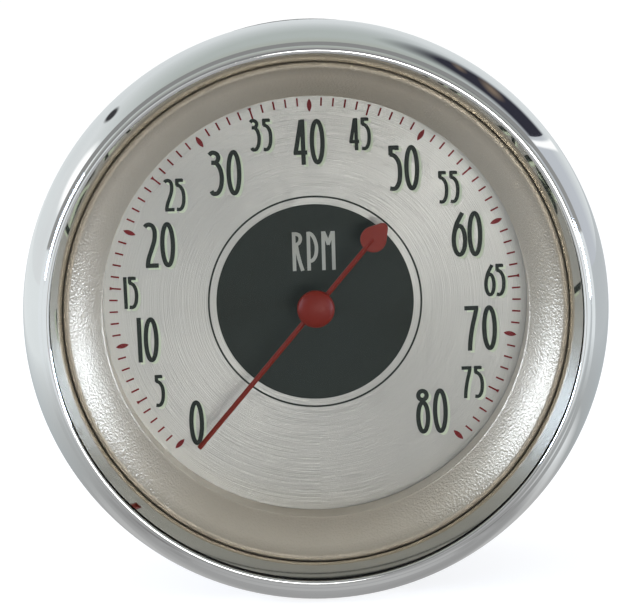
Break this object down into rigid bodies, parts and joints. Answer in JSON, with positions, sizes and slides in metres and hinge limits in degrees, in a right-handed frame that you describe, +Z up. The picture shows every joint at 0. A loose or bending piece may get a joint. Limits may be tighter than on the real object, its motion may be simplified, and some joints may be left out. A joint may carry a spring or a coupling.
{
  "type": "tachometer",
  "caption": "Round panel tachometer: polished stepped bezel, recessed printed dial with a red pointer, and a crossed-coil movement in a steel case.",
  "frame": {"origin": "on the axis of the case, in the plane of the panel's front face, where the bezel seats", "axes": "the face looks along -Y, the case and the studs point along +Y, +Z is up and +X is to the right as one reads the dial"},
  "size_m": [0.1272, 0.0879, 0.1272],
  "materials": {
    "bezel_chrome": "polished",
    "gasket_rubber": "matte",
    "lens_glass": "clear and polished",
    "reflector_chrome": "polished",
    "trim_tan": "fine satin texture",
    "dial_nickel": "satin with printed scale",
    "carrier_white": "matte",
    "pointer_red": "satin",
    "cap_red": "semi-gloss",
    "bush_brass": "turned",
    "spindle_steel": "ground",
    "magnet_dark": "sintered",
    "bobbin_ivory": "matte",
    "inner_copper": "enamelled wire",
    "outer_copper": "enamelled wire",
    "bearing_brass": "turned",
    "can_steel": "zinc-plated",
    "board_green": "solder resist",
    "screw_zinc": "zinc-plated",
    "nut_zinc": "zinc-plated",
    "chip_black": "matte",
    "regulator_black": "matte",
    "capacitor_blue": "sleeved",
    "resistor_buff": "lacquered",
    "selector_red": "moulded",
    "lever_white": "moulded",
    "trimmer_blue": "moulded",
    "trimmer_brass": "turned",
    "case_paint": "satin black paint",
    "stud_steel": "zinc-plated",
    "pillar_brass": "turned",
    "washer_steel": "zinc-plated",
    "block_black": "moulded",
    "blade_brass": "stamped",
    "socket_black": "moulded",
    "bulb_glass": "clear",
    "tab_brass": "stamped"
  },
  "bodies": {
    "gauge": {"bezel": "bezel_chrome", "lens_gasket": "gasket_rubber", "lens": "lens_glass", "reflector_ring": "reflector_chrome", "trim_ring": "trim_tan", "dial": "dial_nickel", "dial_carrier": "carrier_white", "front_bobbin": "bobbin_ivory", "rear_bobbin": "bobbin_ivory", "inner_coil": "inner_copper", "outer_coil": "outer_copper", "front_bearing": "bearing_brass", "rear_bearing": "bearing_brass", "shield_can": "can_steel", "circuit_board": "board_green", "board_screws": "screw_zinc", "board_nuts": "nut_zinc", "driver_chip": "chip_black", "voltage_regulator": "regulator_black", "capacitors": "capacitor_blue", "resistors": "resistor_buff", "selector_body": "selector_red", "trimmer_body": "trimmer_blue", "case": "case_paint", "mounting_studs": "stud_steel", "rear_pillars": "pillar_brass", "case_screws": "screw_zinc", "lock_washers": "washer_steel", "terminal_block": "block_black", "blade_terminals": "blade_brass", "lamp_sockets": "socket_black", "lamp_bulbs": "bulb_glass", "lamp_tabs": "tab_brass"},
    "needle": {"pointer": "pointer_red", "pointer_cap": "cap_red", "pointer_bush": "bush_brass", "spindle": "spindle_steel", "rotor_magnet": "magnet_dark"},
    "left_lever": {"selector_lever_left": "lever_white"},
    "right_lever": {"selector_lever_right": "lever_white"},
    "trimmer": {"trimmer_screw": "trimmer_brass"}
  },
  "joints": [
    {"name": "needle_turn", "type": "hinge", "parent": "gauge", "child": "needle", "pos_m": [0, 0, 0], "axis": [0, 1, 0], "range_deg": [0, 277.6]},
    {"name": "left_lever_slide", "type": "slide", "parent": "gauge", "child": "left_lever", "axis": [0, 0, 1], "range_m": [0, 0.002]},
    {"name": "right_lever_slide", "type": "slide", "parent": "gauge", "child": "right_lever", "axis": [0, 0, 1], "range_m": [0, 0.002]},
    {"name": "trimmer_turn", "type": "hinge", "parent": "gauge", "child": "trimmer", "pos_m": [0.015, 0.0365, 0.017], "axis": [0, 1, 0], "range_deg": [-135, 135]}
  ]
}
